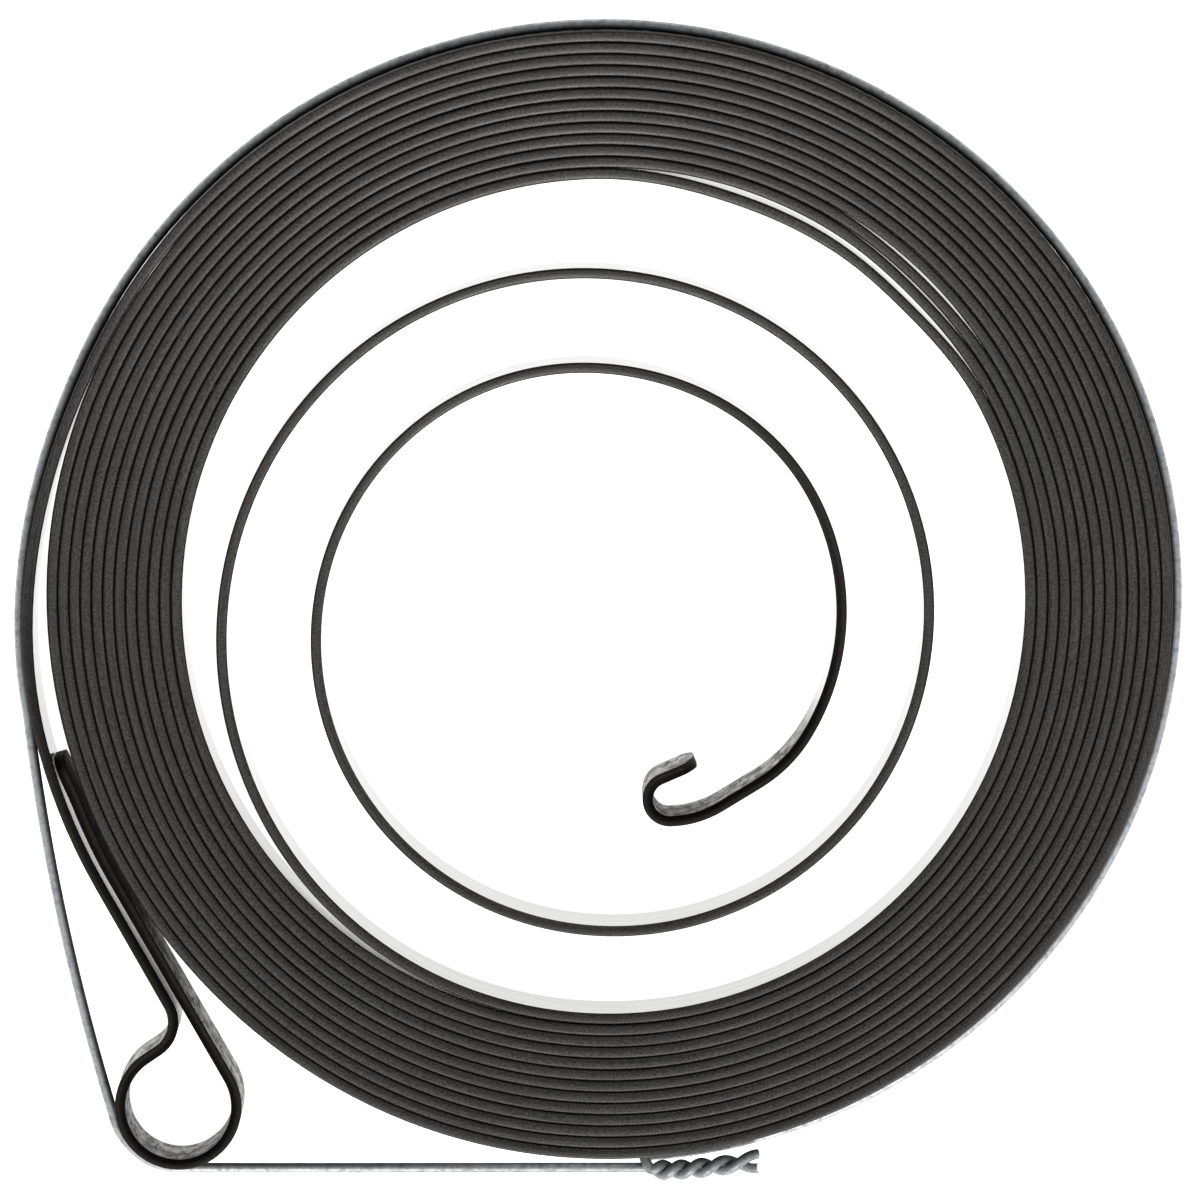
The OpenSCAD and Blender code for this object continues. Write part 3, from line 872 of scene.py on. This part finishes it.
class SPRING_OT_set_stage(bpy.types.Operator):
    """Lay the pale floor, set the soft light and place the camera"""

    bl_idname = "spring.set_stage"
    bl_label = "Set stage"

    FLOOR_REACH = 4.0
    FLOOR_GLOW = 1.0
    LAMP_SIZE = 0.5
    LAMP_POWER = 5.6
    LAMP_PLACE = Vector((0.05, -0.55, 0.45))
    SENSOR = 36.0
    LENS = 316.649
    CAMERA_TILT = math.radians(5.0623)
    CAMERA_DISTANCE = 596.326 * MM
    CAMERA_TARGET = Vector((-0.36, 0.04, 6.0)) * MM

    def execute(self, context):
        scene = context.scene
        self.lay_floor(scene)
        self.light(scene)
        self.place_camera(scene)
        return {"FINISHED"}

    def lay_floor(self, scene):
        """A wide pale sheet that glows as a lit table does."""
        mesh = bpy.data.meshes.new("floor")
        reach = self.FLOOR_REACH
        corners = [(-reach, -reach, 0), (reach, -reach, 0), (reach, reach, 0), (-reach, reach, 0)]
        mesh.from_pydata(corners, [], [(0, 1, 2, 3)])
        floor = bpy.data.objects.new("floor", mesh)
        scene.collection.objects.link(floor)
        material, tree, shader, spot = new_material("floor_sheet")
        tone = between(tree, noise(tree, spot, 40, 2), 0.3, 0.7, 0.97, 1.0)
        tree.links.new(scaled_colour(tree, scene.spring_finish.floor, tone), shader.inputs["Base Color"])
        shader.inputs["Roughness"].default_value = 0.6
        shader.inputs["Emission Color"].default_value = (1, 1, 1, 1)
        shader.inputs["Emission Strength"].default_value = self.FLOOR_GLOW
        mesh.materials.append(material)

    def light(self, scene):
        """White light from all round, less from straight above and from the back, and one soft lamp."""
        world = bpy.data.worlds.new("soft_light")
        world.use_nodes = True
        tree = world.node_tree
        back = next(n for n in tree.nodes if n.type == "BACKGROUND")
        sky = add_node(tree, "ShaderNodeTexCoord").outputs["Generated"]
        way = add_node(tree, "ShaderNodeSeparateXYZ", {0: sky})
        by_height = between(tree, way.outputs[2], 0.0, 1.0, 0.8, 0.40)
        by_side = between(tree, way.outputs[1], -0.6, 0.6, 1.2, 0.6)
        tree.links.new(times(tree, by_height, by_side), back.inputs["Strength"])
        back.inputs["Color"].default_value = (1, 1, 1, 1)
        scene.world = world
        scene.view_settings.view_transform = "Standard"
        lamp = bpy.data.lights.new("soft_lamp", "AREA")
        lamp.size = self.LAMP_SIZE
        lamp.energy = self.LAMP_POWER
        soft = bpy.data.objects.new("soft_lamp", lamp)
        soft.location = self.LAMP_PLACE
        soft.rotation_euler = (-soft.location).to_track_quat("-Z", "Y").to_euler()
        scene.collection.objects.link(soft)

    def place_camera(self, scene):
        """A long lens, almost straight above the spring."""
        camera = bpy.data.cameras.new("camera")
        camera.sensor_fit = "HORIZONTAL"
        camera.sensor_width = self.SENSOR
        camera.lens = self.LENS
        camera.clip_start, camera.clip_end = 0.01, 50
        tilt = self.CAMERA_TILT
        seat = bpy.data.objects.new("camera", camera)
        way = Vector((0, math.sin(tilt), math.cos(tilt)))
        seat.location = self.CAMERA_TARGET + self.CAMERA_DISTANCE * way
        seat.rotation_euler = (-tilt, 0, 0)
        scene.collection.objects.link(seat)
        scene.camera = seat


class SPRING_OT_wind_strip(bpy.types.Operator):
    """Wind the steel strip from its hook to its eye and tail"""

    bl_idname = "spring.wind_strip"
    bl_label = "Wind strip"

    # Lengths of the heated and burnt stretches from the strip's two ends, of the tail's end whose face
    # towards the run stays bright and whose other face has a painted shadow, and their fades
    HOT_HOOK = 12 * MM
    HOT_EYE = 42 * MM
    HOT_FADE = 42 * MM
    BURNT_HOOK = 13 * MM
    BURNT_EYE = 36 * MM
    CLEAN_AND_SHADOWED_TAIL = 8 * MM
    BURN_FADE = 5 * MM
    # Stretch of the outermost turn that the wire lies on, from the tail's cut end
    BOUND_FROM = 50 * MM
    BOUND_TO = 215 * MM
    # Share of the tip's corners that is cut straight; the rest is round
    TIP_STRAIGHT = 0.45
    # Steps round each corner of the strip, and how far off lie the points that hold its shading
    CORNER_STEPS = 4
    SUPPORT = 0.04 * MM

    def execute(self, context):
        scene = context.scene
        strip = scene.spring_strip
        points, films = Winding(strip).path()
        path = path_object(
            "strip_path", points, scorch=self.heat, burn=self.burn, clean=self.clean, bound=self.bound,
            film=lambda run: self.swelling(points, films),
            slant=lambda run: self.slant(run, strip),
        )
        piece = sweep("wound_strip", path, strip_tree(), {
            "Width": strip.width, "Thickness": strip.thickness,
            "Crown": strip.crown, "Corner": strip.corner, "Rollover": strip.rollover,
            "Corner steps": self.CORNER_STEPS, "Support": self.SUPPORT,
            "Metal": strip_steel(scene.spring_finish, strip.width, strip.crown),
        })
        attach(piece, "root")
        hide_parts("spring_strip")
        return {"FINISHED"}

    def tip_round(self, u):
        """Share of the tip's corners that is taken away, from all at the cut end to none."""
        back = max(1 - u, 0)
        return self.TIP_STRAIGHT * back + (1 - self.TIP_STRAIGHT) * (1 - math.sqrt(1 - back * back))

    def slant(self, run, strip):
        """How far the edges are drawn in at each point, as a share of half the width."""
        full = 2 * strip.tip_drop / strip.width
        return [self.tip_round(min(s, run[-1] - s) / strip.tip_slant) * full for s in run]

    def near_ends(self, run, hook, eye, fade):
        """1 within a length of the strip's two ends, fading to 0 beyond it."""
        return [1 - min(ease((s - hook) / fade), ease((run[-1] - s - eye) / fade)) for s in run]

    def heat(self, run):
        """How far each point was heated for bending, from the two ends."""
        return self.near_ends(run, self.HOT_HOOK, self.HOT_EYE, self.HOT_FADE)

    def burn(self, run):
        """How far the wide faces are burnt at each point: round the hook, the eye and its tail."""
        return self.near_ends(run, self.BURNT_HOOK, self.BURNT_EYE, self.BURN_FADE)

    def clean(self, run):
        """Where the tail's face towards the run stays bright, and its other face has a painted shadow."""
        return [1 - ease((run[-1] - s - self.CLEAN_AND_SHADOWED_TAIL) / self.BURN_FADE) for s in run]

    def bound(self, run):
        """Where the wire lies on the outermost turn, whose face gets painted shade under it."""
        start, end, fade = self.BOUND_FROM, self.BOUND_TO, self.BURN_FADE
        backs = [run[-1] - s for s in run]
        return [ease((back - start) / fade) * ease((end - back) / fade) for back in backs]

    def swelling(self, points, films):
        """The film at each point, square to the strip's run."""
        last = len(points) - 1
        steps = [points[min(i + 1, last)] - points[max(i - 1, 0)] for i in range(last + 1)]
        return [Vector((d.y, -d.x, 0)).normalized() * film for d, film in zip(steps, films)]


class SPRING_OT_tie_wire(bpy.types.Operator):
    """Tie the wire round the pack and the eye, and twist its ends"""

    bl_idname = "spring.tie_wire"
    bl_label = "Tie wire"

    # Length of each twisted end, and the fade to what lies round the spring
    TWISTED = 7.5 * MM
    TWISTED_FADE = 1 * MM

    def execute(self, context):
        scene = context.scene
        wire = scene.spring_wire
        path = path_object("wire_path", Tie(Winding(scene.spring_strip), wire).path(), laid=self.laid)
        piece = sweep("twisted_wire", path, wire_tree(), {
            "Radius": wire.diameter / 2, "Sides": wire.sides, "Metal": zinc_coat(scene.spring_finish),
        })
        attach(piece, "root")
        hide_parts("tie_wire")
        return {"FINISHED"}

    def laid(self, run):
        """Where the wire lies round the spring, and not in its twist."""
        return [ease((min(s, run[-1] - s) - self.TWISTED) / self.TWISTED_FADE) for s in run]


class SPRING_PT_panel(bpy.types.Panel):
    """Sizes, finishes and steps of the spring"""

    bl_idname = "SPRING_PT_panel"
    bl_label = "Recoil Spring"
    bl_space_type = "VIEW_3D"
    bl_region_type = "UI"
    bl_category = "Recoil Spring"

    def draw(self, context):
        for step in STEPS:
            self.layout.operator(step.bl_idname)
        for name, group in GROUPS.items():
            box = self.layout.box()
            for field in group.__annotations__:
                box.prop(getattr(context.scene, name), field)


GROUPS = {"spring_strip": StripSizes, "spring_wire": WireSizes, "spring_finish": Finishes}
STEPS = (SPRING_OT_set_stage, SPRING_OT_wind_strip, SPRING_OT_tie_wire)


def register():
    """Registers the groups, the steps and the panel."""
    for item in (*GROUPS.values(), *STEPS, SPRING_PT_panel):
        bpy.utils.register_class(item)
    for name, group in GROUPS.items():
        setattr(bpy.types.Scene, name, PointerProperty(type=group))


def unregister():
    """Takes them away again."""
    for name in GROUPS:
        delattr(bpy.types.Scene, name)
    for item in (SPRING_PT_panel, *reversed(STEPS), *reversed(GROUPS.values())):
        bpy.utils.unregister_class(item)


def main():
    """Builds the spring and its stage."""
    register()
    bpy.ops.spring.set_stage()
    bpy.ops.spring.wind_strip()
    bpy.ops.spring.tie_wire()


if __name__ == "__main__":
    main()
